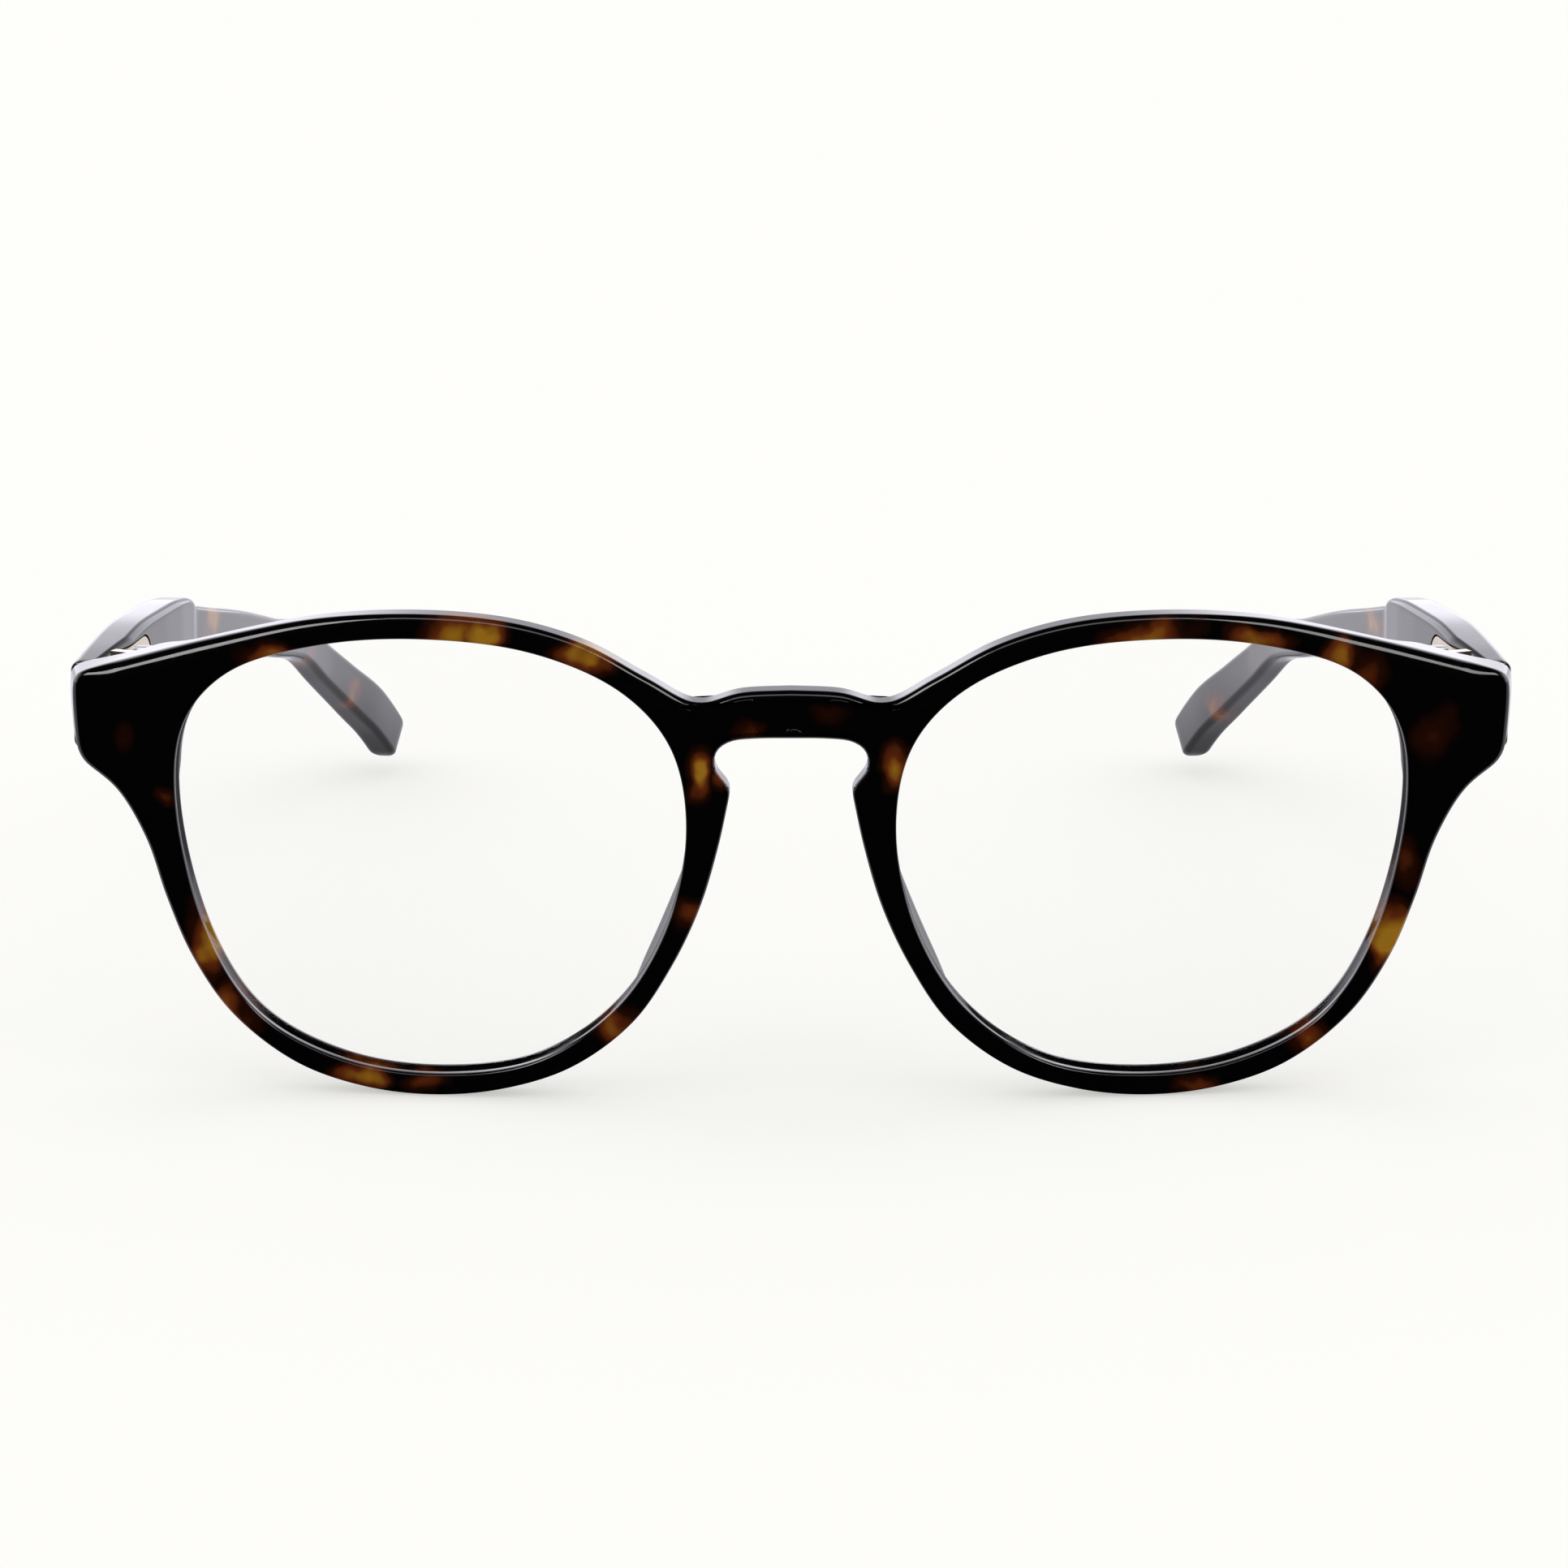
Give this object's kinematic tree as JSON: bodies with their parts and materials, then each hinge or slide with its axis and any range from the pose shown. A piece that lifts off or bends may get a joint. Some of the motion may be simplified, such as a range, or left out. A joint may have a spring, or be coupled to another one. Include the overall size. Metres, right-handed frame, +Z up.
{
  "type": "spectacles",
  "caption": "Dark tortoiseshell acetate spectacles with a keyhole bridge, clear lenses and folding temples on metal barrel hinges.",
  "frame": {"origin": "on the table, in the middle of the space the open spectacles take up", "axes": "+X to the wearer's left side, the right of a viewer in front; +Y back along the temples, the front faces -Y; +Z up"},
  "size_m": [0.1446, 0.1426, 0.0496],
  "materials": {
    "acetate": "tumble-polished dark tortoiseshell cellulose acetate",
    "lens": "clear optical plastic",
    "hinge": "champagne-plated nickel silver, tumbled",
    "screw": "bright steel",
    "wire": "drawn nickel silver",
    "plaque": "polished plated metal"
  },
  "bodies": {
    "frame_front": {"front": "acetate", "left_lens": "lens", "right_lens": "lens", "left_nose_pad": "acetate", "right_nose_pad": "acetate", "left_front_hinge": "hinge", "right_front_hinge": "hinge"},
    "left_arm": {"left_temple": "acetate", "left_core_wire": "wire", "left_temple_hinge": "hinge", "left_hinge_screw": "screw", "left_plaque": "plaque"},
    "right_arm": {"right_temple": "acetate", "right_core_wire": "wire", "right_temple_hinge": "hinge", "right_hinge_screw": "screw", "right_plaque": "plaque"}
  },
  "joints": [
    {"name": "left_fold", "type": "hinge", "parent": "frame_front", "child": "left_arm", "pos_m": [-0.06488, -0.05948, 0.04062], "axis": [0, 0, -1], "range_deg": [0, 86]},
    {"name": "right_fold", "type": "hinge", "parent": "frame_front", "child": "right_arm", "pos_m": [0.06488, -0.05948, 0.04062], "axis": [0, 0, 1], "range_deg": [0, 81]}
  ]
}
